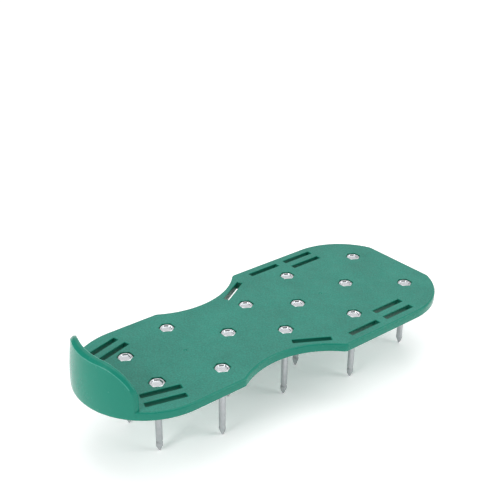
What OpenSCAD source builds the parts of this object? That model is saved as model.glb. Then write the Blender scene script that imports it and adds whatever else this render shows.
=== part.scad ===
// Lawn aerator shoe: a moulded sole with a heel cup, held on the ground by
// hex headed spikes that drop through it and are locked from below by nuts.
// +Y points to the toe, +Z up. The spike tips stand on Z = 0.

/* [Sole] */
// Length of the sole from heel to toe
sole_l = 300; // [298:1:304]
// Width across the ball of the foot
sole_w = 130; // [129:1:134]
// Width across the heel
heel_w = 106; // [105:1:109]
// Width at the narrowest part of the waist
waist_w = 86.8; // [85:0.2:88]
// Thickness of the sole at its edge
sole_t = 6.3; // [6:0.1:8]
// Radius of the two toe corners
toe_r = 54; // [52:1:56]
// Distance from the toe's straight edge back to the centres of its corners
toe_reach = 50; // [49:1:51]
// Radius of the hollow on each side of the waist
waist_r = 64; // [63:1:65]
// Distance of the waist behind the middle of the sole
waist_back = 22; // [20:1:24]

/* [Underside] */
// Thickness of the skin between the ribs
skin_t = 2.8; // [2.4:0.1:3.2]
// Thickness of the wall round the edge
edge_wall = 3; // [2.5:0.1:3.5]
// Thickness of the stiffening ribs
rib_t = 2; // [1.6:0.1:2.4]
// Distance of the two side ribs from the middle
side_rib_x = 28; // [26:1:30]
// Diameter of the boss round each spike
boss_d = 16; // [15:0.5:17]

/* [Heel cup] */
// Height of the cup above the sole
cup_h = 30; // [28:1:34]
// Thickness of the cup's wall at its rim and its two ends
cup_wall = 4.4; // [4:0.1:5]
// How far the outside of the wall leans in over its height
cup_lean = 3.5; // [3:0.1:4]
// Radius of the two shoulders of the cup's rim
cup_shoulder_r = 23; // [22:0.5:24]
// Half the width between the centres of the shoulders
cup_shoulder_x = 16.8; // [16:0.1:17.5]

/* [Strap slots] */
// Length of a strap slot
slot_l = 28.5; // [27:0.5:29]
// Width of a strap slot
slot_w = 4.5; // [4.4:0.1:5]
// Wall left round a slot on the underside
slot_collar = 2; // [1.6:0.1:2.2]

/* [Spikes] */
// Length of a spike below the sole
spike_l = 50; // [45:1:60]
// Diameter of the shank
shank_d = 4.8; // [4.5:0.1:5]
// Length of the pointed tip
tip_l = 6; // [5:0.5:8]
// Diameter of the blunt end of the tip
tip_d = 1; // [0.8:0.1:1.4]
// Size of the hex head across its flats
head_af = 10; // [9.5:0.1:10]
// Height of the hex head
head_h = 3.5; // [3:0.1:3.6]
// How far the head lies below the sole's surface
head_sink = 0.5; // [0.1:0.1:1]
// Clearance round the shank and between head and recess
clearance = 0.2; // [0.1:0.05:0.3]

/* [Nuts] */
// Size of a nut across its flats
nut_af = 8; // [7.8:0.1:8.5]
// Height of a nut
nut_h = 4; // [3.5:0.1:4.5]

/* [Hidden] */
$fn = 96;

under_z = spike_l;                        // the sole's lowest face
top_z = under_z + sole_t;                 // the face that a boot stands on
core_h = sole_t - skin_t;                 // depth of the pockets underneath
half_l = sole_l / 2;
half_w = sole_w / 2;
heel_r = heel_w / 2;
heel_y = heel_r - half_l;                 // centre of the round heel
toe_x = half_w - toe_r;                   // centres of the toe corners
toe_y = half_l - toe_reach;
waist_x = waist_w / 2 + waist_r;          // centres of the waist hollows
waist_y = -waist_back;
cup_half = cup_shoulder_x + cup_shoulder_r; // half the cup's width
rim_in = heel_r - cup_lean - cup_wall;    // inside of the rim at the back
foot_in = heel_r - cup_wall;              // inside of the wall's two ends
foot_in_y = foot_in * sqrt(1 - pow(cup_half / heel_r, 2));
cup_end_y = sqrt(pow(heel_r, 2) - pow(cup_half, 2)); // from the heel's centre back to the two ends
// The round hollow touches the inside of the rim at the back and of both ends.
hollow_shift = (pow(foot_in, 2) - pow(rim_in, 2)) / (2 * (rim_in - foot_in_y));
hollow_r = rim_in + hollow_shift;
seat_z = top_z - head_sink - head_h;      // floor of each hex recess
recess_af = head_af + 2 * clearance;
hole_d = shank_d + 2 * clearance;
nut_bore = shank_d + clearance;
head_cut = 1.2;                           // how far the head's corners are cut away
cut_r = head_af / sqrt(3) - head_cut / 2; // radius of the head's flat top

// Spikes from heel to toe: each pair is mirrored, a single one lies on the centreline.
pair_spikes = [[19.2, -104], [32.5, -60.2], [22.7, 5.6], [37.6, 60.4], [28.6, 126]];
middle_spikes = [-29.3, 37.9, 88.8];
spike_at = [
    for (p = pair_spikes) for (side = [-1, 1]) [side * p[0], p[1]],
    for (y = middle_spikes) [0, y]];

// Strap slots on one side: [x, y, angle away from the centreline].
side_slots = [[38.9, -110.6, 15], [29.2, -107.8, 15], [44.9, 10.8, 30],
    [56.3, 52, 0], [56.3, 88, 0], [45.6, 88, 0]];

// One hexagon by its size across flats, with two corners on the X axis.
module hexagon(af) {
    circle(r = af / sqrt(3), $fn = 6);
}

// The sole's outline, drawn in all round by inset.
module outline(inset = 0) {
    difference() {
        union() {
            intersection() {
                union() {
                    for (side = [-1, 1])
                        translate([side * toe_x, toe_y]) circle(r = toe_r - inset, $fn = 180);
                    translate([-toe_x, toe_y]) square([2 * toe_x, toe_r - inset]);
                }
                translate([-half_w, 0]) square([sole_w, half_l - inset]);
            }
            translate([-half_w + inset, waist_y]) square([sole_w - 2 * inset, toe_y - waist_y]);
            translate([-heel_r + inset, heel_y]) square([heel_w - 2 * inset, waist_y - heel_y]);
            translate([0, heel_y]) circle(r = heel_r - inset, $fn = 180);
        }
        for (side = [-1, 1])
            translate([side * waist_x, waist_y]) circle(r = waist_r + inset, $fn = 180);
    }
}

// A strap slot, or the wall round it, standing on the underside.
module slots(grow = 0) {
    for (s = side_slots) for (side = [-1, 1])
        translate([side * s[0], s[1]]) rotate(-side * s[2])
            square([slot_w + 2 * grow, slot_l + 2 * grow], center = true);
}

// Ribs across the sole at every spike, and three along it.
module ribs() {
    for (p = spike_at)
        translate([-half_w, p[1] - rib_t / 2]) square([sole_w, rib_t]);
    for (x = [-side_rib_x, 0, side_rib_x])
        translate([x - rib_t / 2, -half_l]) square([rib_t, sole_l]);
}

// The pockets between the ribs on the underside.
module pockets() {
    difference() {
        outline(edge_wall);
        ribs();
        slots(slot_collar);
        for (p = spike_at) translate(p) circle(d = boss_d);
    }
}

// The wall round the heel: its outside leans in as it rises, its rim is an arch, and
// the hollow for the boot's heel has an upright wall, so that nothing overhangs the sole.
// Both ends are cut square across the wall, towards the heel's centre.
module heel_cup() {
    intersection() {
        difference() {
            translate([0, heel_y, top_z])
                cylinder(r1 = heel_r, r2 = heel_r - cup_lean, h = cup_h, $fn = 180);
            translate([0, heel_y + hollow_shift, top_z - 1])
                cylinder(r = hollow_r, h = cup_h + 2, $fn = 180);
        }
        translate([0, heel_y, top_z + cup_h - cup_shoulder_r]) rotate([90, 0, 0])
            linear_extrude(heel_w) arch();
        translate([0, heel_y, top_z]) linear_extrude(cup_h)
            polygon([[0, 0], [-2 * cup_half, -2 * cup_end_y], [2 * cup_half, -2 * cup_end_y]]);
    }
}

// The cup seen from behind: two round shoulders, flat between them, upright below them.
module arch() {
    for (side = [-1, 1])
        translate([side * cup_shoulder_x, 0]) circle(r = cup_shoulder_r, $fn = 180);
    translate([-cup_shoulder_x, 0]) square([2 * cup_shoulder_x, cup_shoulder_r]);
    translate([-cup_half - 1, cup_shoulder_r - cup_h])
        square([2 * cup_half + 2, cup_h - cup_shoulder_r]);
}

// The moulding: plate, heel cup, hex recesses, strap slots and cored underside.
module sole() {
    color([0.27, 0.58, 0.51]) difference() {
        union() {
            translate([0, 0, under_z]) linear_extrude(sole_t) outline();
            heel_cup();
        }
        translate([0, 0, under_z - 1]) linear_extrude(core_h + 1) pockets();
        translate([0, 0, under_z - 1]) linear_extrude(sole_t + 2) slots();
        for (p = spike_at) translate(p) {
            translate([0, 0, seat_z]) linear_extrude(top_z) hexagon(recess_af);
            cylinder(d = hole_d, h = top_z);
        }
    }
}

// One spike standing on its tip: pointed shank and hex head with its corners cut away.
module spike(at) {
    color([0.74, 0.75, 0.77]) translate(at) {
        cylinder(d1 = tip_d, d2 = shank_d, h = tip_l);
        translate([0, 0, tip_l]) cylinder(d = shank_d, h = seat_z - tip_l);
        translate([0, 0, seat_z]) intersection() {
            linear_extrude(head_h) hexagon(head_af);
            cylinder(r1 = cut_r + head_h, r2 = cut_r, h = head_h);
        }
    }
}

// One nut, tight under the sole.
module nut(at) {
    color([0.68, 0.69, 0.71]) translate([at[0], at[1], under_z - nut_h]) difference() {
        linear_extrude(nut_h) hexagon(nut_af);
        translate([0, 0, -1]) cylinder(d = nut_bore, h = nut_h + 2);
    }
}

function two_digits(n) = n < 10 ? str("0", n) : str(n);

sole();
for (i = [0 : len(spike_at) - 1]) {
    spike(spike_at[i]);
    nut(spike_at[i]);
}
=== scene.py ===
"""Builds the finished look of a lawn aerator shoe around its CAD frame: a moulded green sole with
a heel cup, and the zinc plated spikes and nuts that it carries."""
import math
import random

import bpy
import bmesh
from mathutils import Matrix, Vector
from mathutils.geometry import delaunay_2d_cdt


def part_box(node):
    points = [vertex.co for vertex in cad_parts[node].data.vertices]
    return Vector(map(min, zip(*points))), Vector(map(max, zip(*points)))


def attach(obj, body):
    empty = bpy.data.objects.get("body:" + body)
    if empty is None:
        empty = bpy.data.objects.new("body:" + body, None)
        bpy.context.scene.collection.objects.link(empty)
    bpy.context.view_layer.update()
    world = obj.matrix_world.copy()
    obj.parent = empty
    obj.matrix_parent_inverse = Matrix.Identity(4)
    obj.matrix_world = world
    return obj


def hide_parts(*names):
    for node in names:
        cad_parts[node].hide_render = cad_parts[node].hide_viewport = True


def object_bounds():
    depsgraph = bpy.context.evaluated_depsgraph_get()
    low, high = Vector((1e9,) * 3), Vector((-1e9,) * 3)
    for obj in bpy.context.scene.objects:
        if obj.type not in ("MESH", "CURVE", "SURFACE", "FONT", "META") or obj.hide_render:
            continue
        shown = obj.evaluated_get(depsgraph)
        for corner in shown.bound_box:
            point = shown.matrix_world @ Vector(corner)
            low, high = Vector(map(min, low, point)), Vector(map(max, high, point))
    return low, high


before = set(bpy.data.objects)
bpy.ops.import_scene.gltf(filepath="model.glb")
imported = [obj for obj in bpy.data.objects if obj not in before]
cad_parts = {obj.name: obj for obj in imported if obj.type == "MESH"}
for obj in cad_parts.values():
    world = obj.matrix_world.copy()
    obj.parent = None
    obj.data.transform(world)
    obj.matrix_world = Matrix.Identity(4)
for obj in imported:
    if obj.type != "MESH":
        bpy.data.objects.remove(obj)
CAD_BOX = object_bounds()

bl_info = {
    "name": "Lawn Aerator Shoe",
    "version": (1, 0, 0),
    "blender": (4, 5, 0),
    "location": "View3D > Sidebar > Aerator",
    "description": "Builds the sole, spikes, nuts and stage of a lawn aerator shoe",
    "category": "Add Mesh",
}

MM = 0.001
SPIKE_COUNT = 13
SPIKES = [f"spike_{number:02d}" for number in range(1, SPIKE_COUNT + 1)]
NUTS = [f"nut_{number:02d}" for number in range(1, SPIKE_COUNT + 1)]
GROUND_Z = CAD_BOX[0][2]
UNDER_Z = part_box("sole")[0][2]
CUP_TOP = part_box("sole")[1][2]
HALF_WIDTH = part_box("sole")[1][0]
HALF_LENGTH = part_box("sole")[1][1]
NUT_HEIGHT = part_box(NUTS[0])[1][2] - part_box(NUTS[0])[0][2]


def length(name, description, millimetres):
    """A size that a user may change, given in millimetres."""
    return bpy.props.FloatProperty(
        name=name, description=description, default=millimetres * MM, min=0.0,
        precision=5, unit="LENGTH")


def paint(name, description, colour):
    """A colour that a user may change, in linear light."""
    return bpy.props.FloatVectorProperty(
        name=name, description=description, default=colour, size=3, min=0.0, max=1.0,
        subtype="COLOR")


class SoleSizes(bpy.types.PropertyGroup):
    """Sizes of the moulding that the frame doesn't say."""
    thickness: length("Thickness", "Height of the sole at its edge", 6.3)
    heel_width: length("Heel width", "Width across the round heel", 106.0)
    waist_width: length("Waist width", "Width at the narrowest place", 86.8)
    waist_radius: length("Waist radius", "Radius of the hollow on each side", 64.0)
    waist_back: length("Waist setback", "Distance of the waist behind the middle", 22.0)
    toe_radius: length("Toe radius", "Radius of the two toe corners", 54.0)
    toe_reach: length("Toe reach", "From the toe's edge back to its corner centres", 50.0)
    corner: length("Corner radius", "Rounding where two stretches of the edge meet", 5.0)
    top_edge: length("Top edge", "Rounding of the edge that a boot stands on", 1.1)
    under_edge: length("Lower edge", "Rounding of the edge underneath", 0.7)
    skin: length("Skin", "Thickness left above the pockets underneath", 2.8)
    edge_wall: length("Edge wall", "Wall between the pockets and the edge", 3.0)
    rib: length("Rib", "Thickness of a rib", 2.0)
    pocket_corner: length("Pocket corner", "Radius of the corners of the pockets", 1.5)
    side_rib: length("Side rib", "Distance of the two side ribs from the middle", 28.0)
    boss: length("Boss", "Radius of the solid boss round each spike", 8.0)
    slot_length: length("Slot length", "Length of a strap slot", 28.5)
    slot_width: length("Slot width", "Width of a strap slot", 4.5)
    slot_collar: length("Slot collar", "Wall round a slot underneath", 2.0)
    slot_edge: length("Slot edge", "Rounding of a slot's edges", 0.35)
    gate_mark: length("Gate mark", "Radius of the two shallow round marks", 1.0)
    recess_flats: length("Recess", "Hex recess across its flats", 10.4)
    recess_depth: length("Recess depth", "From the upper face to the seat of a head", 4.0)
    hole: length("Hole", "Radius of the hole for a shank", 2.6)


class CupSizes(bpy.types.PropertyGroup):
    """Sizes of the wall round the heel."""
    wall: length("Wall", "Thickness at the rim and at both ends", 4.4)
    lean: length("Lean", "How far the outside leans in over its height", 2.7)
    hollow_inset: length("Hollow inset", "How far the hollow stands in at the back", 3.5)
    shoulder: length("Shoulder radius", "Radius of the rim's two shoulders", 23.0)
    shoulder_x: length("Shoulder spacing", "Half the distance between the shoulders", 16.8)
    slope: length("Slope", "How far down and in the rim's outer slope reaches", 1.8)
    slope_edge: length("Slope edge", "Radius where the slope meets the outer face", 0.7)
    slope_top: length("Slope top", "Radius where the slope meets the flat of the rim", 1.4)
    inner_edge: length("Inner edge", "Radius of the rim's inner edge", 0.7)


class SpikeSizes(bpy.types.PropertyGroup):
    """Sizes of a spike and its nut."""
    shank: length("Shank", "Radius of the shank", 2.4)
    tip: length("Tip", "Length of the pointed end", 6.0)
    tip_end: length("Tip end", "Radius of the blunt end", 0.5)
    head_flats: length("Head", "Hex head across its flats", 10.0)
    dish: length("Dish", "Radius of the hollow in the head", 4.15)
    dish_depth: length("Dish depth", "Depth of the hollow in the head", 1.15)
    pitch: length("Pitch", "Distance from thread to thread", 0.8)
    thread: length("Thread", "Depth of the thread", 0.4)
    thread_length: length("Thread length", "Threaded stretch below the seat of the head", 14.0)
    nut_flats: length("Nut", "Nut across its flats", 8.0)
    nut_bore: length("Nut bore", "Radius of the hole in a nut", 2.5)


class Colours(bpy.types.PropertyGroup):
    """Colours of the plastic, the zinc and the stage, with a painted shade for the hollows and a
    painted highlight for the rim's edges.
    """
    plastic: paint("Plastic", "Green of the moulding", (0.011, 0.200, 0.140))
    grain: paint("Grain", "Green of the grained upper face", (0.014, 0.200, 0.148))
    # Darker green painted on the walls of slots, recesses and holes: painted shade where little
    # light reaches in.
    depth: paint("Slot", "Green of the walls of slots and recesses", (0.004, 0.105, 0.070))
    # Paler green painted along the rim's upper rounded edges: a painted highlight.
    rim_highlight: paint("Highlight edge", "Paler green of the rim's highlit edges", (0.045, 0.290, 0.220))
    zinc: paint("Zinc", "Bright zinc plate", (0.66, 0.68, 0.70))
    zinc_dull: paint("Dull zinc", "Duller patches in the plate", (0.58, 0.60, 0.62))
    floor: paint("Floor", "Floor under the shoe", (0.95, 0.95, 0.95))


def sizes(kind):
    """The property group with that name, as stored on the scene."""
    return getattr(bpy.context.scene, kind)


# Flat shapes. A loop is a list of (x, y) points that runs anticlockwise.

EDGE_CHORD = 1.6 * MM       # distance from point to point along the sole's long curves
CORNER_CHORD = 0.6 * MM     # and round its small corners
FINE_CHORD = 0.25 * MM      # and round the corners of slots and recesses
ROLL_CHORD = 0.3 * MM       # and round the corners of the pockets
MITRE_LIMIT = 0.4           # keeps a moved loop's sharp corners short
ROLLED_FROM = math.radians(6)   # a corner of a pocket that turns more than this is rounded
LEAST_GAP = 0.08 * MM       # points of a pocket's loop that lie closer become one
INSIDE_ONLY = 1             # the kind of triangulation that leaves out what lies outside
SLOT_CORNER = 0.4 * MM
BOSS_POINTS = 48
ROW_DIGITS = 5              # spikes whose places agree to this many digits stand in one row

# Middle of each strap slot on the right side, in millimetres, and its turn in degrees.
SLOT_PLACES = ((38.9, -110.6, 15), (29.2, -107.8, 15), (44.9, 10.8, 30),
               (56.3, 52.0, 0), (56.3, 88.0, 0), (45.6, 88.0, 0))


def arc(cx, cy, radius, start, end, chord):
    """Points on an arc, both ends included, about one chord apart."""
    steps = max(3, math.ceil(abs(end - start) * radius / chord))
    angles = [start + (end - start) * step / steps for step in range(steps + 1)]
    return [(cx + radius * math.cos(a), cy + radius * math.sin(a)) for a in angles]


def without_repeats(points, gap=1e-6):
    """The loop without points that lie within a small gap of the one before them."""
    kept = []
    for point in points:
        if not kept or math.dist(point, kept[-1]) > gap:
            kept.append(point)
    if math.dist(kept[0], kept[-1]) < gap:
        kept.pop()
    return kept


def grown(points, distance):
    """The loop moved outwards by a distance, or inwards where it is negative."""
    count = len(points)
    moved = []
    for index, (x, y) in enumerate(points):
        ax, ay = points[index - 1]
        bx, by = points[(index + 1) % count]
        back = Vector((x - ax, y - ay)).normalized()
        ahead = Vector((bx - x, by - y)).normalized()
        out = Vector((back.y + ahead.y, -back.x - ahead.x))
        out /= max(MITRE_LIMIT, out.length_squared / 2)
        moved.append((x + out.x * distance, y + out.y * distance))
    return moved


def placed(points, x, y, angle=0.0):
    """The loop turned by an angle and moved to (x, y)."""
    c, s = math.cos(angle), math.sin(angle)
    return [(x + px * c - py * s, y + px * s + py * c) for px, py in points]


def rounded_polygon(corners, radius, chord):
    """A convex loop through the corners, each one rounded to a radius."""
    points = []
    count = len(corners)
    for index, corner in enumerate(corners):
        here = Vector(corner)
        back = (Vector(corners[index - 1]) - here).normalized()
        ahead = (Vector(corners[(index + 1) % count]) - here).normalized()
        half = back.angle(ahead) / 2
        centre = here + (back + ahead).normalized() * radius / math.sin(half)
        first = math.atan2(back.x, -back.y)
        turn = math.pi - 2 * half
        points += arc(centre.x, centre.y, radius, first, first + turn, chord)
    return points


def rectangle(width, height, radius):
    """A rounded rectangle about the origin."""
    w, h = width / 2, height / 2
    return rounded_polygon([(-w, -h), (w, -h), (w, h), (-w, h)], radius, FINE_CHORD)


def hexagon(flats, radius):
    """A rounded hexagon with two corners on the X axis."""
    reach = flats / math.sqrt(3)
    corners = [(reach * math.cos(math.radians(60 * k)), reach * math.sin(math.radians(60 * k)))
               for k in range(6)]
    return rounded_polygon(corners, radius, FINE_CHORD)


def ring(radius, points=32):
    """A circle about the origin."""
    return [(radius * math.cos(math.tau * k / points), radius * math.sin(math.tau * k / points))
            for k in range(points)]


def sole_outline():
    """The sole's edge: half of it from heel to toe, and its mirror image back."""
    s = sizes("aerator_sole")
    heel_r = s.heel_width / 2
    heel_y = heel_r - HALF_LENGTH
    toe_x, toe_y = HALF_WIDTH - s.toe_radius, HALF_LENGTH - s.toe_reach
    waist_x, waist_y = s.waist_width / 2 + s.waist_radius, -s.waist_back
    r = s.corner

    def waist_corner(edge_x, side):
        """Centre of the rounding between a straight edge and the waist, and its angle."""
        across = waist_x - edge_x + r
        along = math.sqrt((s.waist_radius + r) ** 2 - across ** 2)
        return edge_x - r, waist_y + side * along, math.atan2(-side * along, across)

    low_x, low_y, low_turn = waist_corner(heel_r, -1)
    high_x, high_y, high_turn = waist_corner(HALF_WIDTH, 1)
    toe_corner_x = toe_x + math.sqrt((s.toe_radius - r) ** 2 - (s.toe_reach - r) ** 2)
    toe_turn = math.atan2(s.toe_reach - r, toe_corner_x - toe_x)
    half = [(0.0, -HALF_LENGTH)]
    half += arc(0.0, heel_y, heel_r, -math.pi / 2, 0.0, EDGE_CHORD)
    half += arc(low_x, low_y, r, 0.0, low_turn, CORNER_CHORD)
    half += arc(waist_x, waist_y, s.waist_radius,
                math.pi + low_turn, math.pi + high_turn, EDGE_CHORD)
    half += arc(high_x, high_y, r, high_turn, 0.0, CORNER_CHORD)
    half += arc(toe_x, toe_y, s.toe_radius, 0.0, toe_turn, EDGE_CHORD)
    half += arc(toe_corner_x, HALF_LENGTH - r, r, toe_turn, math.pi / 2, CORNER_CHORD)
    half += [(0.0, HALF_LENGTH)]
    return without_repeats(half + [(-x, y) for x, y in reversed(half)])


def middle_of(name):
    """Where a CAD node stands: the middle of its box, seen from above."""
    low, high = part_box(name)
    return (low[0] + high[0]) / 2, (low[1] + high[1]) / 2


def spike_places():
    """Where each spike stands, from the frame."""
    return [middle_of(name) for name in SPIKES]


def slot_loops(grow=0.0):
    """The twelve strap slots, or the walls round them."""
    s = sizes("aerator_sole")
    shape = rectangle(s.slot_width + 2 * grow, s.slot_length + 2 * grow, SLOT_CORNER + grow)
    return [placed(shape, sign * x * MM, y * MM, -sign * math.radians(turn))
            for x, y, turn in SLOT_PLACES for sign in (1, -1)]


def loops_of(cells, points):
    """The closed loops round a set of cells, each anticlockwise round its own patch."""
    edges = {(cell[k - 1], cell[k]) for cell in cells for k in range(len(cell))}
    ahead = {a: b for a, b in edges if (b, a) not in edges}
    loops = []
    while ahead:
        start, here = ahead.popitem()
        loop = [start]
        while here != start:
            loop.append(here)
            here = ahead.pop(here)
        loops.append([tuple(points[index]) for index in loop])
    return loops


def area(points):
    """Signed area of a loop, positive where it runs anticlockwise."""
    return sum(a[0] * b[1] - b[0] * a[1] for a, b in zip(points, points[1:] + points[:1])) / 2


def rolled_out(points, radius):
    """A loop moved outwards as a ball would roll round it, so that its corners become round."""
    moved = grown(points, radius)
    rolled = []
    for index, (x, y) in enumerate(points):
        ax, ay = points[index - 1]
        bx, by = points[(index + 1) % len(points)]
        turn = Vector((bx - x, by - y)).angle_signed(Vector((x - ax, y - ay)), 0.0)
        if turn > ROLLED_FROM:
            first = math.atan2(ax - x, y - ay)
            rolled += arc(x, y, radius, first, first + turn, ROLL_CHORD)
        else:
            rolled.append(moved[index])
    return rolled


def pocket_loops(outline):
    """The pockets underneath: what the ribs, bosses and collars leave inside the edge wall.

    Each solid part is taken larger by the radius of a pocket's corners, and what is left is
    rolled back out by it.
    """
    s = sizes("aerator_sole")
    places = spike_places()
    wide, long = HALF_WIDTH, HALF_LENGTH
    r = s.pocket_corner
    half_rib = s.rib / 2 + r
    solid = [placed(ring(s.boss + r, BOSS_POINTS), x, y) for x, y in places]
    solid += slot_loops(s.slot_collar + r)
    for level in sorted({round(y, ROW_DIGITS) for _, y in places}):
        low, high = level - half_rib, level + half_rib
        solid.append([(-wide, low), (wide, low), (wide, high), (-wide, high)])
    for middle in (-s.side_rib, 0.0, s.side_rib):
        low, high = middle - half_rib, middle + half_rib
        solid.append([(low, -long), (high, -long), (high, long), (low, long)])
    points, faces = [], []
    for shape in [grown(outline, -s.edge_wall - r)] + solid:
        faces.append(list(range(len(points), len(points) + len(shape))))
        points += [Vector(point) for point in shape]
    found, _, cells, _, _, covers = delaunay_2d_cdt(points, [], faces, INSIDE_ONLY, 1e-7)
    open_cells = [cell for cell, cover in zip(cells, covers) if list(cover) == [0]]
    loops = [without_repeats(loop, LEAST_GAP) for loop in loops_of(open_cells, found)]
    return [rolled_out(loop, r) for loop in loops if len(loop) > 3 and area(loop) > r * r]


# Meshes.

# Places of the finishes in the list of the sole's materials, and of the shank's in a spike's.
# The third finish is a darker green painted into slots, recesses and holes as painted shade, and
# the fourth a paler green painted on the rim's upper edges as a painted highlight.
SATIN, GRAINED, PAINTED_SHADE, PAINTED_HIGHLIGHT = 0, 1, 2, 3
# The shank's finish is the zinc darkened, as painted shade.
SHADED_SHANK = 1
EDGE_STEPS = 4              # faces across a rounded edge
FLOOR_STEPS = 3             # faces where a hollow's wall rolls into its floor
CREASE = math.radians(35)   # edges that turn more than this stay sharp


def rings_of(mesh, rings):
    """Adds each (loop, height) to the mesh as a ring of points."""
    return [[mesh.verts.new((x, y, z)) for x, y in points] for points, z in rings]


def join_rings(mesh, rings, material=SATIN):
    """A band of faces between each ring and the next."""
    for lower, upper in zip(rings, rings[1:]):
        for index in range(len(lower)):
            face = mesh.faces.new((lower[index - 1], lower[index], upper[index], upper[index - 1]))
            face.material_index = material


def fill(mesh, outer, holes, material=SATIN):
    """Closes a flat region between one ring of points and the rings inside it."""
    verts, faces = [], []
    for one in [outer] + holes:
        faces.append(list(range(len(verts), len(verts) + len(one))))
        verts += one
    flat = [Vector((vert.co.x, vert.co.y)) for vert in verts]
    _, _, cells, origin, _, covers = delaunay_2d_cdt(flat, [], faces, INSIDE_ONLY, 1e-8)
    for cell, cover in zip(cells, covers):
        if list(cover) == [0]:
            face = mesh.faces.new([verts[origin[index][0]] for index in cell])
            face.material_index = material


def turned_edge(points, radius, z, side, flare=0.35 * MM):
    """Rings that roll a flat face into a loop's wall, from the flat to the wall.

    side is 1 for an upper face and -1 for a lower one. A positive radius belongs to a solid's
    own edge, a negative one to an opening in it. flare is the width of a last narrow ring on
    the flat, which keeps its shading true.
    """
    sign, size = math.copysign(1.0, radius), abs(radius)
    rings = [(grown(points, -sign * (size + flare)), z)]
    for step in range(EDGE_STEPS + 1):
        turn = math.pi / 2 * step / EDGE_STEPS
        rings.append((grown(points, -sign * size * (1 - math.sin(turn))),
                      z - side * size * (1 - math.cos(turn))))
    return rings


def hollow_floor(points, radius, z, side, flare=0.3 * MM):
    """Rings that roll the wall of a hollow into its floor. side is 1 for a floor that faces up."""
    rings = []
    for step in range(FLOOR_STEPS + 1):
        turn = math.pi / 2 * step / FLOOR_STEPS
        rings.append((grown(points, -radius * (1 - math.cos(turn))),
                      z + side * radius * (1 - math.sin(turn))))
    return rings + [(grown(points, -radius - flare), z)]


def shade(mesh):
    """Smooth shading, with an edge kept sharp where its faces turn more than the crease angle."""
    for face in mesh.faces:
        face.smooth = True
    for edge in mesh.edges:
        edge.smooth = len(edge.link_faces) == 2 and edge.calc_face_angle(0.0) < CREASE


def finish_mesh(mesh, name, materials):
    """Puts the mesh in the scene as a closed object."""
    bmesh.ops.recalc_face_normals(mesh, faces=mesh.faces)
    open_edges = sum(not edge.is_manifold for edge in mesh.edges)
    if open_edges:
        raise RuntimeError(f"{name} has {open_edges} edges that don't close")
    shade(mesh)
    data = bpy.data.meshes.new(name)
    mesh.to_mesh(data)
    mesh.free()
    for material in materials:
        data.materials.append(material)
    piece = bpy.data.objects.new(name, data)
    bpy.context.scene.collection.objects.link(piece)
    return piece


# The sole.

# Radii of a hex recess (its six corners, its upper edge, its floor's edge) and of a hole's edge.
RECESS_CORNER, RECESS_EDGE, RECESS_FLOOR = 0.5 * MM, 0.3 * MM, 0.2 * MM
HOLE_EDGE = 0.2 * MM
SATIN_RINGS = 3             # how much of a recess's rounded edge has the finish of the sides
GATE_MARK_PLACES = (-67.1 * MM, 61.4 * MM)      # along the centreline
GATE_MARK_DEPTH, GATE_MARK_EDGE, GATE_MARK_FLOOR = 0.15 * MM, 0.1 * MM, 0.05 * MM
# A pocket's lower edge, how much narrower it is at its ceiling, and the ceiling's rounding.
POCKET_EDGE, POCKET_DRAFT, POCKET_CEILING = 0.3 * MM, 0.1 * MM, 0.5 * MM
PROUD = 0.02 * MM           # keeps the cup's outside clear of the sole's edge, for a clean union
ROOT_DEPTH = 3.0 * MM       # how far the cup's wall reaches down into the sole
LEAN_CURVE = 1.5            # 1 leans straight in, more leans in mostly near the rim
RIM_STEPS = 4               # faces across each rounded edge of the rim
BELOW_SLOPE = 0.5 * MM      # how far the rim's own faces reach below its slope
HIGHLIGHT_FROM = 0.4           # upward share of the rim's direction from which its edges take the painted highlight
# Faces up an end of the wall, round a shoulder of the rim, and along the flat of the rim.
WALL_ROWS, SHOULDER_STEPS, FLAT_STEPS = 10, 26, 14


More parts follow.
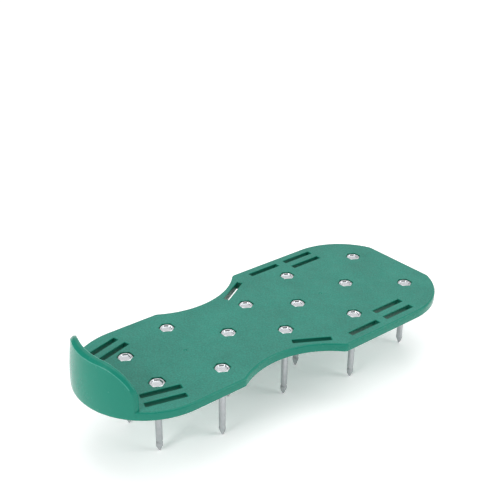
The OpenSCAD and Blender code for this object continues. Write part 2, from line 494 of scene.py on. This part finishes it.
def plate_mesh():
    """The flat part of the sole, with slots, recesses and holes, and the pockets underneath."""
    s = sizes("aerator_sole")
    top = UNDER_Z + s.thickness
    seat = top - s.recess_depth
    mesh = bmesh.new()
    outline = sole_outline()
    edge = rings_of(mesh, turned_edge(outline, s.top_edge, top, 1)
                    + turned_edge(outline, s.under_edge, UNDER_Z, -1)[::-1])
    join_rings(mesh, edge)
    top_holes, under_holes = [], []
    for slot in slot_loops():
        through = rings_of(mesh, turned_edge(slot, -s.slot_edge, top, 1)
                           + turned_edge(slot, -s.slot_edge, UNDER_Z, -1)[::-1])
        join_rings(mesh, through[:EDGE_STEPS + 2])
        # The slot's walls below its rounded top edge take the darker green, as painted shade.
        join_rings(mesh, through[EDGE_STEPS + 1:], PAINTED_SHADE)
        top_holes.append(through[0])
        under_holes.append(through[-1])
    for x, y in spike_places():
        sides = placed(hexagon(s.recess_flats, RECESS_CORNER), x, y)
        recess = rings_of(mesh, turned_edge(sides, -RECESS_EDGE, top, 1)
                          + hollow_floor(sides, RECESS_FLOOR, seat, 1, flare=0.15 * MM))
        join_rings(mesh, recess[:SATIN_RINGS])
        # The recess's lower edge, walls and seat take the darker green, as painted shade.
        join_rings(mesh, recess[SATIN_RINGS - 1:], PAINTED_SHADE)
        top_holes.append(recess[0])
        hole = placed(ring(s.hole), x, y)
        bore = rings_of(mesh, turned_edge(hole, -HOLE_EDGE, seat, 1)
                        + turned_edge(hole, -HOLE_EDGE, UNDER_Z, -1)[::-1])
        # The bore and the seat round it take the same painted shade.
        join_rings(mesh, bore, PAINTED_SHADE)
        fill(mesh, recess[-1], [bore[0]], PAINTED_SHADE)
        under_holes.append(bore[-1])
    for y in GATE_MARK_PLACES:
        circle = placed(ring(s.gate_mark), 0.0, y)
        mark = rings_of(mesh, turned_edge(circle, -GATE_MARK_EDGE, top, 1)
                        + hollow_floor(circle, GATE_MARK_FLOOR, top - GATE_MARK_DEPTH, 1))
        join_rings(mesh, mark)
        fill(mesh, mark[-1], [], GRAINED)
        top_holes.append(mark[0])
    ceiling = top - s.skin
    for pocket in pocket_loops(outline):
        inner = grown(pocket, -POCKET_DRAFT)
        hollow = rings_of(mesh, turned_edge(pocket, -POCKET_EDGE, UNDER_Z, -1)
                          + hollow_floor(inner, POCKET_CEILING, ceiling, -1))
        join_rings(mesh, hollow)
        fill(mesh, hollow[-1], [], GRAINED)
        under_holes.append(hollow[0])
    fill(mesh, edge[0], top_holes, GRAINED)
    fill(mesh, edge[-1], under_holes)
    return mesh


def rim_profile():
    """Points across the rim from its outer face to its inner one: how far in and how deep."""
    c = sizes("aerator_cup")
    deep = c.slope + BELOW_SLOPE
    corners = [((0.0, deep), 0.0), ((0.0, c.slope), c.slope_edge), ((c.slope, 0.0), c.slope_top),
               ((c.wall, 0.0), c.inner_edge), ((c.wall, deep), 0.0)]
    points = [corners[0][0]]
    for (before, _), (corner, radius), (after, _) in zip(corners, corners[1:], corners[2:]):
        first = Vector(before) - Vector(corner)
        last = Vector(after) - Vector(corner)
        first.normalize()
        last.normalize()
        half = first.angle(last) / 2
        centre = Vector(corner) + (first + last).normalized() * radius / math.sin(half)
        start = (Vector(corner) + first * radius / math.tan(half) - centre).normalized()
        end = (Vector(corner) + last * radius / math.tan(half) - centre).normalized()
        points += [tuple(centre + radius * start.slerp(end, step / RIM_STEPS))
                   for step in range(RIM_STEPS + 1)]
    return points + [corners[-1][0]]


def cup_mesh():
    """The wall round the heel, as a closed solid that reaches down into the sole."""
    s, c = sizes("aerator_sole"), sizes("aerator_cup")
    top = UNDER_Z + s.thickness
    height = CUP_TOP - top
    heel_r = s.heel_width / 2
    heel_y = heel_r - HALF_LENGTH
    half = c.shoulder_x + c.shoulder
    spring = height - c.shoulder
    sunk = -ROOT_DEPTH
    rim_in = heel_r - c.hollow_inset - c.wall
    foot_in = heel_r - c.wall
    foot_in_y = foot_in * math.sqrt(1 - (half / heel_r) ** 2)
    shift = (foot_in ** 2 - rim_in ** 2) / (2 * (rim_in - foot_in_y))
    hollow_r = rim_in + shift

    def across(x, z, inward):
        """A point of the wall, from its outer face at 0 to its inner face at 1, straight through
        it towards the heel's centre. x is measured round the heel's edge."""
        outer = heel_r + PROUD - c.lean * max(0.0, z / height) ** LEAN_CURVE
        sine = x / heel_r
        cosine = math.sqrt(1 - sine * sine)
        inner = math.sqrt(hollow_r ** 2 - (shift * sine) ** 2) - shift * cosine
        r = outer + (inner - outer) * inward
        return mesh.verts.new((r * sine, heel_y - r * cosine, top + z))

    # The rim's line seen from the back: each point (x, z) with its outward direction (nx, nz).
    mesh = bmesh.new()
    rows = WALL_ROWS
    right = [(half, sunk + (spring - sunk) * k / rows, 1.0, 0.0) for k in range(rows)]
    for k in range(SHOULDER_STEPS):
        turn = math.pi / 2 * k / SHOULDER_STEPS
        right.append((c.shoulder_x + c.shoulder * math.cos(turn),
                      spring + c.shoulder * math.sin(turn), math.cos(turn), math.sin(turn)))
    rim = right + [(c.shoulder_x * (1 - 2 * k / FLAT_STEPS), height, 0.0, 1.0)
                   for k in range(FLAT_STEPS)]
    rim.append((-c.shoulder_x, height, 0.0, 1.0))
    rim += [(-x, z, -nx, nz) for x, z, nx, nz in reversed(right)]

    # The rim itself: a band of faces across the wall, with a paler green painted on its two
    # rounded edges where they face up, as a painted highlight.
    profile = rim_profile()
    deep, steps = profile[0][1], len(profile) - 1
    band, around = [], []
    for x, z, nx, nz in rim:
        around.append((x - nx * deep, z - nz * deep))
        band.append([across(x - nx * depth, z - nz * depth, inward / c.wall)
                     for inward, depth in profile])
    inner_edge = steps - 1 - RIM_STEPS
    # Faces of the outer rounded edge and half of the inner one, which take the painted highlight.
    rim_highlight = [*range(1, 1 + RIM_STEPS), *range(inner_edge, inner_edge + RIM_STEPS // 2)]
    for one, other, (_, _, _, upward) in zip(band, band[1:], rim):
        for k in range(steps):
            face = mesh.faces.new((one[k], one[k + 1], other[k + 1], other[k]))
            if upward > HIGHLIGHT_FROM and k in rim_highlight:
                face.material_index = PAINTED_HIGHLIGHT

    # The wall's outer and inner face, from the band down to the foot, and the foot itself.
    feet = []
    for side in (0, steps):
        edge = [line[side] for line in band]
        columns = [edge[:rows + 1]]
        for (x, high), vert in list(zip(around, edge))[rows + 1:-rows - 1]:
            columns.append([across(x, sunk + (high - sunk) * k / rows, side / steps)
                            for k in range(rows)] + [vert])
        columns.append(edge[-rows - 1:][::-1])
        for one, other in zip(columns, columns[1:]):
            for k in range(rows):
                mesh.faces.new((one[k], other[k], other[k + 1], one[k + 1]))
        feet.append([column[0] for column in columns])
    mesh.faces.new(feet[0][:-1] + band[-1] + feet[1][-2:0:-1] + band[0][:0:-1])
    bmesh.ops.recalc_face_normals(mesh, faces=mesh.faces)
    return mesh


def joined(first, second):
    """The first object with the second one moulded into it."""
    union = first.modifiers.new("Join", "BOOLEAN")
    union.operation = "UNION"
    union.solver = "EXACT"
    union.object = second
    bpy.context.view_layer.update()
    shape = first.evaluated_get(bpy.context.evaluated_depsgraph_get())
    mesh = bmesh.new()
    mesh.from_mesh(shape.to_mesh())
    shape.to_mesh_clear()
    for piece in (first, second):
        data = piece.data
        bpy.data.objects.remove(piece)
        bpy.data.meshes.remove(data)
    bmesh.ops.remove_doubles(mesh, verts=mesh.verts, dist=1e-7)
    return mesh


# Spikes and nuts.

HEAD_POINTS, SHANK_POINTS, NUT_POINTS = 96, 24, 48      # points in one loop round the axis
CHAMFER_SLOPE = math.tan(math.radians(30))
CRISP, SOFT = 40, 14        # how sharply a hexagon's flats meet its blunted corners
HEAD_BLUNT, DISH_BLUNT, NUT_BLUNT = 0.15 * MM, 0.35 * MM, 0.12 * MM
HEAD_CHAMFER, NUT_CHAMFER = 0.3 * MM, 0.15 * MM
HEAD_RING, NUT_RING = 0.12 * MM, 0.1 * MM   # narrow flat beside a chamfer, for its shading
UNDER_EDGE, UNDER_MIDDLE = 0.2 * MM, 0.06 * MM  # rounding under a head, and its middle ring
NUT_SINK = 0.35 * MM        # depth and width of the countersink of a nut's bore
# From the middle of the dish to its edge: how far in, in millimetres, and the share of its depth.
DISH_SHAPE = ((1.4, 1.0), (0.9, 1.0), (0.68, 0.96), (0.5, 0.82), (0.3, 0.45), (0.16, 0.16),
              (0.05, 0.04), (-0.12, 0.0))
RINGS_PER_THREAD = 6
PLAIN_BELOW_THREAD = 4 * MM     # places of the plain shank's rings
PLAIN_ABOVE_TIP = (6 * MM, 3 * MM)
TIP_STEPS, TIP_LEAD = 12, 2     # rings of the pressed faces, and those above the shoulder
TIP_FACE = 0.8              # flat of the blunt end, as a share of its radius
FACE_START = 0.1 * MM       # how far outside the shank the pressed faces start
TIP_ROUND = (0.35 * MM, 0.22 * MM)   # height and width of the rounding of the blunt end
SWELL_AT, SWELL_REACH = 0.08, 0.22   # where pressing widened the shank, as shares of the tip


def hex_reach(angle, flats, blunt, power):
    """Distance from the axis to a hexagon with blunted corners, two of them on the X axis."""
    off = (angle % (math.pi / 3)) - math.pi / 6
    side = math.cos(off) / (flats / 2)
    corner = flats / math.sqrt(3) - blunt
    return (side ** power + corner ** -power) ** (-1 / power)


def polar(x, y, turn, count, reach):
    """A loop round (x, y) whose distance from it is reach(angle)."""
    points = []
    for k in range(count):
        angle = math.tau * k / count
        r = reach(angle)
        points.append((x + r * math.cos(angle + turn), y + r * math.sin(angle + turn)))
    return points


def head_rings(x, y, turn, top, seat):
    """Rings of the hex head with its dished top, from the middle of the dish to the seat."""
    s = sizes("aerator_spike")
    chamfer = s.head_flats / 2 - HEAD_CHAMFER

    def loop(reach):
        return polar(x, y, turn, HEAD_POINTS, reach)

    def dish(change):
        return loop(lambda a: hex_reach(a, 2 * s.dish, DISH_BLUNT, SOFT) + change)

    def side(change=0.0):
        return loop(lambda a: hex_reach(a, s.head_flats, HEAD_BLUNT, CRISP) + change)

    rings = [(dish(-inward * MM), top - part * s.dish_depth) for inward, part in DISH_SHAPE]
    rings += [(loop(lambda a: chamfer - inward), top) for inward in (HEAD_RING, 0.0)]
    hexes = side()
    rings.append((hexes, [top - CHAMFER_SLOPE * (math.dist(point, (x, y)) - chamfer)
                          for point in hexes]))
    rings += [(hexes, seat + UNDER_EDGE), (side(-UNDER_MIDDLE), seat + UNDER_MIDDLE),
              (side(-UNDER_EDGE), seat)]
    return rings


def spike_mesh(x, y, top, seat, draw):
    """One spike: its head, its thread, its plain shank and its pressed point."""
    s = sizes("aerator_spike")
    mesh = bmesh.new()
    turn = math.radians(draw.uniform(-1.2, 1.2))
    head = []
    for points, heights in head_rings(x, y, turn, top, seat):
        if isinstance(heights, float):
            heights = [heights] * len(points)
        head.append([mesh.verts.new((px, py, z)) for (px, py), z in zip(points, heights)])
    join_rings(mesh, head)
    mesh.faces.new(head[0])
    start = draw.random() * math.tau

    def thread(z):
        """The loop of the shank at a depth below the seat."""
        ends = min(1.0, z / s.pitch, (s.thread_length - z) / s.pitch)

        def reach(angle):
            part = (z / s.pitch + (angle + start) / math.tau) % 1.0
            return s.shank - s.thread * max(0.0, ends) * (1 - abs(2 * part - 1))
        return polar(x, y, 0.0, SHANK_POINTS, reach)

    rings = []
    levels = round(s.thread_length / s.pitch * RINGS_PER_THREAD)
    for k in range(levels + 1):
        depth = s.thread_length * k / levels
        rings.append((thread(depth), seat - depth))
    shoulder = GROUND_Z + s.tip
    levels = [seat - s.thread_length - PLAIN_BELOW_THREAD]
    levels += [shoulder + above for above in PLAIN_ABOVE_TIP]
    rings += [(thread(s.thread_length), z) for z in levels]
    pressed = draw.random() * math.pi / 2
    flare = draw.uniform(0.05, 0.16) * MM

    def point(part):
        """The loop of the four pressed faces, from the shoulder at 0 to the blunt end at 1."""
        face = s.shank + FACE_START + (s.tip_end * TIP_FACE - s.shank) * part
        swell = flare * math.exp(-((part - SWELL_AT) / SWELL_REACH) ** 2)

        def reach(angle):
            off = (angle % (math.pi / 2)) - math.pi / 4
            return min(s.shank + swell, face / math.cos(off))
        return polar(x, y, pressed, SHANK_POINTS, reach)

    round_height, round_width = TIP_ROUND
    for step in range(-TIP_LEAD, TIP_STEPS + 1):
        part = step / TIP_STEPS
        rings.append((point(part), shoulder - part * (s.tip - round_height)))
    rings.append((grown(point(1.0), -round_width), GROUND_Z))
    shank = rings_of(mesh, rings)
    # The shank and its point take the darkened zinc, as painted shade.
    join_rings(mesh, shank, SHADED_SHANK)
    fill(mesh, head[-1], [shank[0]])
    mesh.faces.new(shank[-1]).material_index = SHADED_SHANK
    return mesh


def nut_mesh(x, y, low, draw):
    """One nut, with both of its faces chamfered and its bore countersunk."""
    s = sizes("aerator_spike")
    turn = draw.random() * math.tau
    chamfer = s.nut_flats / 2 - NUT_CHAMFER
    high = low + NUT_HEIGHT
    hexes = polar(x, y, turn, NUT_POINTS, lambda a: hex_reach(a, s.nut_flats, NUT_BLUNT, CRISP))
    rise = [CHAMFER_SLOPE * max(0.0, math.dist(point, (x, y)) - chamfer) for point in hexes]

    def circle(radius, z):
        return polar(x, y, turn, NUT_POINTS, lambda a: radius), [z] * NUT_POINTS

    bore, sink = s.nut_bore, s.nut_bore + NUT_SINK
    inside = chamfer - NUT_RING
    rings = [circle(bore, low + NUT_SINK), circle(sink, low), circle(inside, low),
             circle(chamfer, low),
             (hexes, [low + step for step in rise]), (hexes, [high - step for step in rise]),
             circle(chamfer, high), circle(inside, high), circle(sink, high),
             circle(bore, high - NUT_SINK)]
    mesh = bmesh.new()
    loops = [[mesh.verts.new((px, py, z)) for (px, py), z in zip(points, heights)]
             for points, heights in rings]
    join_rings(mesh, loops + loops[:1])
    return mesh


# Materials.

# Sockets of the colour Mix node, which share their names with those for other kinds of value.
MIX_FACTOR, MIX_FIRST, MIX_SECOND, MIX_RESULT = 0, 6, 7, 2

# Size of the plastic's colour clouds, smudges and sink marks.
CLOUD_SIZE, SMUDGE_SIZE, SINK_SIZE = 30 * MM, 9 * MM, 28 * MM
CLOUD_SHARE = 0.4           # part of the clouds in the colour, beside the grain's own
CLOUD_FROM, CLOUD_TO = 0.45, 0.95   # values of the two together that the colours spread over
ROUGHNESS_STRAY = 0.05
# Size of the zinc's cloudy patches, draw marks and tooth.
PATCH_SIZE, DRAW_SIZE, TOOTH_SIZE = 4 * MM, 0.5 * MM, 0.25 * MM


def start_material(name, colour, roughness, metallic=0.0):
    """A material with its own shader, and a function that adds a node to it."""
    material = bpy.data.materials.new(name)
    material.use_nodes = True
    material.diffuse_color = (*colour, 1.0)
    tree = material.node_tree
    shader = tree.nodes["Principled BSDF"]
    shader.inputs["Base Color"].default_value = (*colour, 1.0)
    shader.inputs["Roughness"].default_value = roughness
    shader.inputs["Metallic"].default_value = metallic

    def add(kind, links=(), **values):
        """Adds a node, sets its inputs or properties by name, and links inputs to sockets."""
        made = tree.nodes.new(kind)
        for key, value in values.items():
            if hasattr(made, key):
                setattr(made, key, value)
            else:
                made.inputs[key.replace("_", " ").title()].default_value = value
        for key, socket in dict(links).items():
            tree.links.new(socket, made.inputs[key])
        return made

    def drive(name_of_input, socket):
        """Links a socket into one of the shader's inputs."""
        tree.links.new(socket, shader.inputs[name_of_input])

    return material, shader, add, drive


def noise(add, vector, size, detail=3.0, roughness=0.55):
    """Noise whose features are about the given size."""
    return add("ShaderNodeTexNoise", {"Vector": vector}, scale=1.0 / size, detail=detail,
               roughness=roughness).outputs["Fac"]


def spread(add, socket, low, high, first=0.3, last=0.7):
    """A value between first and last as one between low and high."""
    return add("ShaderNodeMapRange", {"Value": socket}, from_min=first, from_max=last,
               to_min=low, to_max=high).outputs["Result"]


def blend_colours(add, socket, first, second):
    """A colour that goes from the first to the second as the value goes from 0 to 1."""
    mix = add("ShaderNodeMix", {MIX_FACTOR: socket}, data_type="RGBA")
    mix.inputs[MIX_FIRST].default_value = (*first, 1.0)
    mix.inputs[MIX_SECOND].default_value = (*second, 1.0)
    return mix.outputs[MIX_RESULT]


def object_place(add, stretch=None):
    """Coordinates on the object in metres, stretched by a factor along each axis if asked."""
    place = add("ShaderNodeTexCoord").outputs["Object"]
    if stretch:
        mapping = add("ShaderNodeMapping", {"Vector": place})
        mapping.inputs["Scale"].default_value = stretch
        place = mapping.outputs["Vector"]
    return place


def moulded_plastic(name, colour, rough, grain_size, grain_depth, gloss, mottle, sink_depth):
    """Moulded green plastic with a fine grain, faint sink marks and slightly uneven colour.

    gloss is the strength of its reflections, mottle how far its colour strays to either side.
    """
    material, shader, add, drive = start_material(name, colour, rough)
    shader.inputs["Specular IOR Level"].default_value = gloss
    place = object_place(add)
    grain = noise(add, place, grain_size, detail=2.0)
    cloud = add("ShaderNodeMath", {0: noise(add, place, CLOUD_SIZE), 2: grain},
                operation="MULTIPLY_ADD")
    cloud.inputs[1].default_value = CLOUD_SHARE
    drive("Base Color", blend_colours(
        add, spread(add, cloud.outputs["Value"], 0.0, 1.0, CLOUD_FROM, CLOUD_TO),
        [c * (1 - mottle) for c in colour], [c * (1 + mottle) for c in colour]))
    smudge = noise(add, place, SMUDGE_SIZE, detail=4.0)
    drive("Roughness", spread(add, smudge, rough - ROUGHNESS_STRAY, rough + ROUGHNESS_STRAY))
    sink = add("ShaderNodeBump", {"Height": noise(add, place, SINK_SIZE, detail=0.0)},
               strength=0.6, distance=sink_depth)
    tooth = add("ShaderNodeBump", {"Height": grain, "Normal": sink.outputs["Normal"]},
                strength=0.7, distance=grain_depth)
    drive("Normal", tooth.outputs["Normal"])
    return material


def zinc_plate(name, along, shade=1.0):
    """Zinc plated steel, with draw marks along the axis, cloudy patches and a fine tooth.

    along stretches the draw marks where it is below 1, and shade darkens both of its colours as
    painted shade.
    """
    c = sizes("aerator_colours")
    bright, dull = [shade * part for part in c.zinc], [shade * part for part in c.zinc_dull]
    material, _, add, drive = start_material(name, bright, 0.3, metallic=1.0)
    place = object_place(add)
    cloud = spread(add, noise(add, place, PATCH_SIZE, detail=2.0), 0.0, 1.0)
    drive("Base Color", blend_colours(add, cloud, bright, dull))
    drawn = noise(add, object_place(add, (1.0, 1.0, along)), DRAW_SIZE, detail=3.0)
    drive("Roughness", spread(add, drawn, 0.28, 0.38))
    marks = add("ShaderNodeBump", {"Height": drawn}, strength=0.3, distance=0.012 * MM)
    tooth = add("ShaderNodeBump", {"Height": noise(add, place, TOOTH_SIZE),
                                   "Normal": marks.outputs["Normal"]},
                strength=0.2, distance=0.008 * MM)
    drive("Normal", tooth.outputs["Normal"])
    return material


# Operators.

FIRST_NUT_SEED = 100        # spikes draw from the seeds 0 to 12


class AERATOR_OT_sole(bpy.types.Operator):
    """Builds the moulded sole with its heel cup"""
    bl_idname = "aerator.sole"
    bl_label = "Sole"

    def execute(self, context):
        c = sizes("aerator_colours")
        smooth = {"grain_size": 0.6 * MM, "grain_depth": 0.004 * MM, "sink_depth": 0.12 * MM}
        grained = {"grain_size": 1.1 * MM, "grain_depth": 0.12 * MM, "sink_depth": 0.5 * MM}
        finishes = [
            moulded_plastic("moulded_satin", c.plastic, rough=0.24, gloss=0.20, mottle=0.04,
                            **smooth),
            moulded_plastic("moulded_grain", c.grain, rough=0.56, gloss=0.42, mottle=0.28,
                            **grained),
            # Darker green for the walls of slots, recesses and holes: painted shade.
            moulded_plastic("moulded_painted_shade", c.depth, rough=0.35, gloss=0.2, mottle=0.04,
                            **smooth),
            # Paler green for the rim's upper edges: a painted highlight.
            moulded_plastic("moulded_painted_highlight", c.rim_highlight, rough=0.30, gloss=0.3, mottle=0.10,
                            **smooth)]
        plate = finish_mesh(plate_mesh(), "sole_plate", finishes)
        cup = finish_mesh(cup_mesh(), "heel_cup", finishes)
        sole = finish_mesh(joined(plate, cup), "sole_moulding", finishes)
        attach(sole, "root")
        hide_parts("sole")
        return {"FINISHED"}


class AERATOR_OT_spikes(bpy.types.Operator):
    """Builds the zinc plated spikes"""
    bl_idname = "aerator.spikes"
    bl_label = "Spikes"

    def execute(self, context):
        # The shank's zinc is darkened to 0.72 of the head's: painted shade for the darker
        # surroundings it reflects.
        finishes = [zinc_plate("zinc_head", 0.04), zinc_plate("zinc_shank_painted_shade", 0.04, shade=0.72)]
        s = sizes("aerator_sole")
        seat = UNDER_Z + s.thickness - s.recess_depth
        for number, name in enumerate(SPIKES):
            x, y = middle_of(name)
            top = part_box(name)[1][2]
            mesh = spike_mesh(x, y, top, seat, random.Random(number))
            spike = finish_mesh(mesh, f"zinc_{name}", finishes)
            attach(spike, "root")
            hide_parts(name)
        return {"FINISHED"}


class AERATOR_OT_nuts(bpy.types.Operator):
    """Builds the nuts that hold the spikes"""
    bl_idname = "aerator.nuts"
    bl_label = "Nuts"

    def execute(self, context):
        zinc = zinc_plate("zinc_nut", 0.5)
        for number, name in enumerate(NUTS):
            x, y = middle_of(name)
            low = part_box(name)[0][2]
            mesh = nut_mesh(x, y, low, random.Random(FIRST_NUT_SEED + number))
            nut = finish_mesh(mesh, f"zinc_{name}", [zinc])
            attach(nut, "root")
            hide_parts(name)
        return {"FINISHED"}


FLOOR_REACH = 3.0           # metres from the middle of the floor to its edges
FLOOR_GLOW = 0.25           # keeps the floor pale where the lights fall off
# Name, place, target, width, height and power of each light, in metres and watts.
LIGHTS = (("key", (0.25, -1.5, 0.9), (0.0, 0.0, 0.03), 0.6, 0.6, 11.0),
          ("strip", (-0.75, -1.35, 0.28), (0.0, -0.12, 0.07), 1.3, 0.16, 5.0),
          ("fill", (1.2, 1.0, 0.7), (0.0, 0.0, 0.03), 0.8, 0.8, 8.0),
          ("overhead", (-0.3, 0.3, 1.7), (0.0, 0.0, 0.0), 1.5, 1.5, 10.0))
STUDIO_LEVEL = 0.9          # brightness of the surroundings away from the dark areas
# Directions of the two darker areas of the studio, and how each one fades in: the cosine of
# the angle at its edge and at its heart, and how much darker it is there.
DARK_AREAS = ((-0.80, -0.52, 0.30), (0.80, -0.46, 0.40))
DARK_EDGE, DARK_HEART, DARK_AMOUNT = 0.55, 0.95, 0.75
CAMERA_PLACE = (0.43854, -0.37596, 0.40621)
CAMERA_AZIMUTH, CAMERA_DOWN, CAMERA_ROLL = 50.155, 26.918, 0.769
SENSOR_WIDTH, FOCAL_LENGTH = 36.0, 65.94


def area_light(name, place, target, width, height, energy):
    """A soft light that shines from a place towards a target."""
    lamp = bpy.data.lights.new(name, "AREA")
    lamp.shape = "RECTANGLE"
    lamp.size = width
    lamp.size_y = height
    lamp.energy = energy
    holder = bpy.data.objects.new(name, lamp)
    holder.location = place
    holder.rotation_euler = (Vector(target) - Vector(place)).to_track_quat("-Z", "Y").to_euler()
    holder.visible_camera = False
    bpy.context.scene.collection.objects.link(holder)


def pale_floor():
    """A wide flat floor under the tips of the spikes."""
    mesh = bmesh.new()
    r = FLOOR_REACH
    mesh.faces.new([mesh.verts.new((x, y, GROUND_Z)) for x, y in
                    ((-r, -r), (r, -r), (r, r), (-r, r))])
    data = bpy.data.meshes.new("floor")
    mesh.to_mesh(data)
    mesh.free()
    colour = sizes("aerator_colours").floor
    material, shader, add, drive = start_material("pale_floor", colour, 0.8)
    shader.inputs["Emission Color"].default_value = (1.0, 1.0, 1.0, 1.0)
    shader.inputs["Emission Strength"].default_value = FLOOR_GLOW
    speck = noise(add, object_place(add), 2 * MM)
    drive("Roughness", spread(add, speck, 0.75, 0.85))
    data.materials.append(material)
    floor = bpy.data.objects.new("floor", data)
    bpy.context.scene.collection.objects.link(floor)


def studio_world():
    """Pale surroundings with two darker areas, which give the plastic and the zinc their tone."""
    world = bpy.data.worlds.new("studio")
    world.use_nodes = True
    tree = world.node_tree
    look = tree.nodes.new("ShaderNodeTexCoord").outputs["Generated"]
    strength = None
    for direction in DARK_AREAS:
        facing = tree.nodes.new("ShaderNodeVectorMath")
        facing.operation = "DOT_PRODUCT"
        facing.inputs[1].default_value = Vector(direction).normalized()
        tree.links.new(look, facing.inputs[0])
        lobe = tree.nodes.new("ShaderNodeMapRange")
        lobe.interpolation_type = "SMOOTHSTEP"
        for key, value in (("From Min", DARK_EDGE), ("From Max", DARK_HEART),
                           ("To Max", DARK_AMOUNT)):
            lobe.inputs[key].default_value = value
        tree.links.new(facing.outputs["Value"], lobe.inputs["Value"])
        level = tree.nodes.new("ShaderNodeMath")
        level.operation = "SUBTRACT"
        level.inputs[0].default_value = STUDIO_LEVEL
        if strength:
            tree.links.new(strength, level.inputs[0])
        tree.links.new(lobe.outputs["Result"], level.inputs[1])
        strength = level.outputs["Value"]
    tree.links.new(strength, tree.nodes["Background"].inputs["Strength"])
    tree.nodes["Background"].inputs["Color"].default_value = (1.0, 1.0, 1.0, 1.0)
    bpy.context.scene.world = world


def camera():
    """The camera, which looks down on the shoe from beside its heel."""
    lens = bpy.data.cameras.new("camera")
    lens.sensor_width = SENSOR_WIDTH
    lens.lens = FOCAL_LENGTH
    lens.clip_start = 0.01
    holder = bpy.data.objects.new("camera", lens)
    turn = (Matrix.Rotation(math.radians(CAMERA_AZIMUTH), 4, "Z")
            @ Matrix.Rotation(math.radians(90 - CAMERA_DOWN), 4, "X")
            @ Matrix.Rotation(math.radians(CAMERA_ROLL), 4, "Z"))
    holder.matrix_world = Matrix.Translation(CAMERA_PLACE) @ turn
    bpy.context.scene.collection.objects.link(holder)
    bpy.context.scene.camera = holder


class AERATOR_OT_stage(bpy.types.Operator):
    """Builds the pale floor, the soft light and the camera"""
    bl_idname = "aerator.stage"
    bl_label = "Stage"

    def execute(self, context):
        pale_floor()
        studio_world()
        for light in LIGHTS:
            area_light(*light)
        context.scene.view_settings.view_transform = "Standard"
        context.scene.view_settings.look = "None"
        camera()
        return {"FINISHED"}


class AERATOR_PT_sidebar(bpy.types.Panel):
    """Lists the operators and the sizes that they use"""
    bl_idname = "AERATOR_PT_sidebar"
    bl_label = "Lawn Aerator Shoe"
    bl_space_type = "VIEW_3D"
    bl_region_type = "UI"
    bl_category = "Aerator"

    def draw(self, context):
        for operator in OPERATORS:
            self.layout.operator(operator.bl_idname)
        for stored in GROUPS:
            for key in getattr(context.scene, stored).bl_rna.properties.keys():
                if key not in ("rna_type", "name"):
                    self.layout.prop(getattr(context.scene, stored), key)


GROUPS = {"aerator_sole": SoleSizes, "aerator_cup": CupSizes, "aerator_spike": SpikeSizes,
          "aerator_colours": Colours}
OPERATORS = (AERATOR_OT_sole, AERATOR_OT_spikes, AERATOR_OT_nuts, AERATOR_OT_stage)
CLASSES = (*GROUPS.values(), *OPERATORS, AERATOR_PT_sidebar)


def register():
    for item in CLASSES:
        bpy.utils.register_class(item)
    for stored, group in GROUPS.items():
        setattr(bpy.types.Scene, stored, bpy.props.PointerProperty(type=group))


def unregister():
    for stored in GROUPS:
        delattr(bpy.types.Scene, stored)
    for item in reversed(CLASSES):
        bpy.utils.unregister_class(item)


def main():
    register()
    bpy.ops.aerator.sole()
    bpy.ops.aerator.spikes()
    bpy.ops.aerator.nuts()
    bpy.ops.aerator.stage()


if __name__ == "__main__":
    main()
